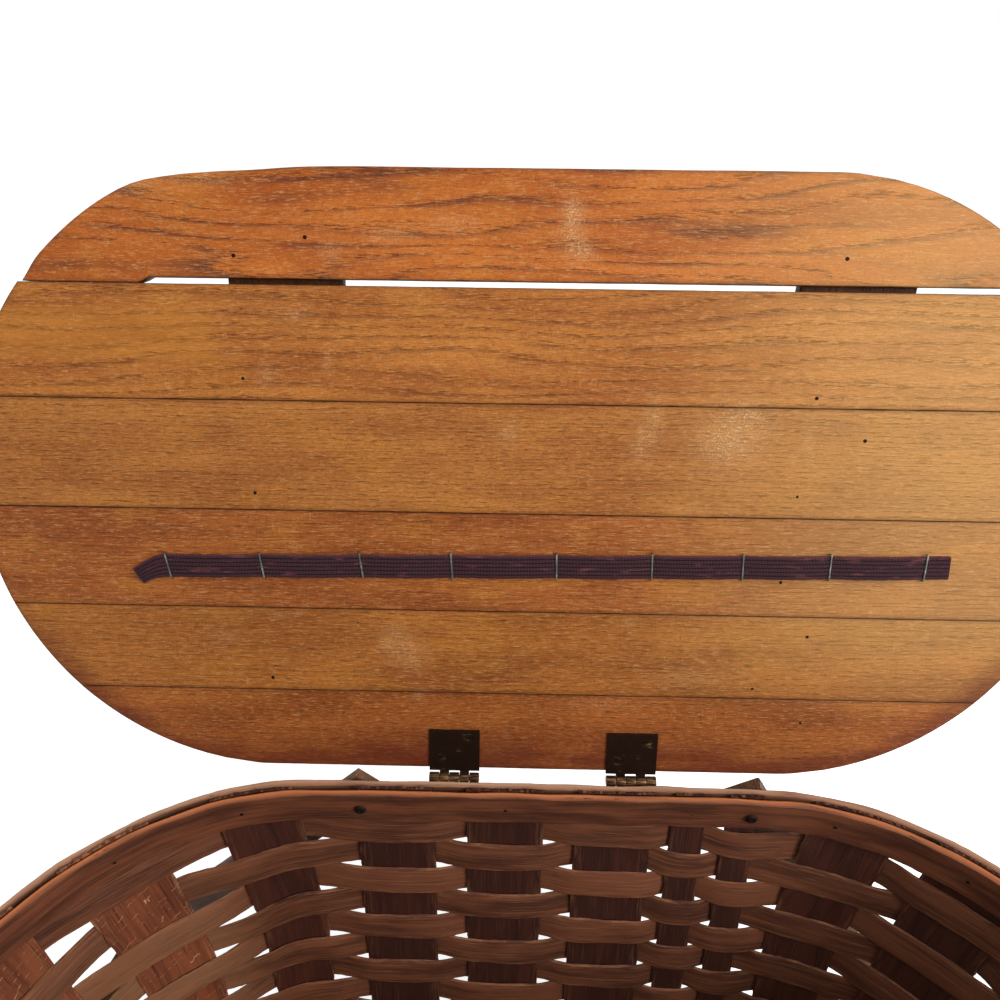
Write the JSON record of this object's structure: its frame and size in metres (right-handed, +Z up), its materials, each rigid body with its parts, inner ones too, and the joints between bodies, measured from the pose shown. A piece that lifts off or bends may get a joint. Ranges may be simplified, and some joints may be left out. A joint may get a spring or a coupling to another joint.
{
  "type": "picnic basket",
  "caption": "Round-ended woven splint picnic basket with a plank lid hinged at the back, an elastic strap inside the lid and two swinging bail handles.",
  "frame": {"origin": "on the floor, under the middle of the basket's rim", "axes": "+X along the basket to the right, +Y to the hinge side, +Z up"},
  "size_m": [0.5237, 0.4061, 0.4909],
  "materials": {
    "lid_wood": "oiled pine boards, worn",
    "rim_wood": "bent ash hoop, sanded top edge",
    "splint_wood": "dark stained ash splint",
    "handle_wood": "bent ash strip, worn",
    "base_wood": "plain boards, stained",
    "strap_fabric": "ribbed elastic",
    "hinge_bronze": "darkened brass, rubbed bright in places",
    "nail_steel": "dull oxidised steel",
    "staple_steel": "zinc grey wire"
  },
  "bodies": {
    "basket": {"outer_rim_hoop": "rim_wood", "inner_rim_hoop": "rim_wood", "weaver_1": "splint_wood", "weaver_2": "splint_wood", "weaver_3": "splint_wood", "weaver_4": "splint_wood", "weaver_5": "splint_wood", "weaver_6": "splint_wood", "weaver_7": "splint_wood", "weaver_8": "splint_wood", "weaver_9": "splint_wood", "weaver_10": "splint_wood", "weaver_11": "splint_wood", "cross_splint_1": "splint_wood", "cross_splint_2": "splint_wood", "cross_splint_3": "splint_wood", "cross_splint_4": "splint_wood", "cross_splint_5": "splint_wood", "left_end_stake_1": "splint_wood", "left_end_stake_2": "splint_wood", "left_end_stake_3": "splint_wood", "left_end_stake_4": "splint_wood", "left_end_stake_5": "splint_wood", "left_end_stake_6": "splint_wood", "left_end_stake_7": "splint_wood", "right_end_stake_1": "splint_wood", "right_end_stake_2": "splint_wood", "right_end_stake_3": "splint_wood", "right_end_stake_4": "splint_wood", "right_end_stake_5": "splint_wood", "right_end_stake_6": "splint_wood", "right_end_stake_7": "splint_wood", "back_base_board": "base_wood", "front_base_board": "base_wood", "back_runner": "base_wood", "middle_runner": "base_wood", "front_runner": "base_wood", "left_rim_leaf": "hinge_bronze", "right_rim_leaf": "hinge_bronze", "hinge_pins": "hinge_bronze", "rim_hinge_screws": "hinge_bronze", "rim_nails": "nail_steel", "base_nails": "nail_steel", "handle_rivets": "nail_steel"},
    "lid": {"lid_board_1": "lid_wood", "lid_board_2": "lid_wood", "lid_board_3": "lid_wood", "lid_board_4": "lid_wood", "lid_board_5": "lid_wood", "lid_board_6": "lid_wood", "left_lid_batten": "lid_wood", "right_lid_batten": "lid_wood", "batten_nails": "nail_steel", "utensil_strap": "strap_fabric", "strap_staples": "staple_steel", "left_lid_leaf": "hinge_bronze", "right_lid_leaf": "hinge_bronze", "lid_hinge_screws": "hinge_bronze"},
    "left_handle": {"left_handle": "handle_wood"},
    "right_handle": {"right_handle": "handle_wood"}
  },
  "joints": [
    {"name": "lid_hinge", "type": "hinge", "parent": "basket", "child": "lid", "pos_m": [0.00275, 0.14615, 0.2202], "axis": [1, 0, 0], "range_deg": [0, 110]},
    {"name": "left_handle_pivot", "type": "hinge", "parent": "basket", "child": "left_handle", "pos_m": [-0.0886, 0, 0.2105], "axis": [0, 1, 0], "range_deg": [-7, 155]},
    {"name": "right_handle_pivot", "type": "hinge", "parent": "basket", "child": "right_handle", "pos_m": [0.1069, 0, 0.2105], "axis": [0, -1, 0], "range_deg": [0, 168]}
  ]
}
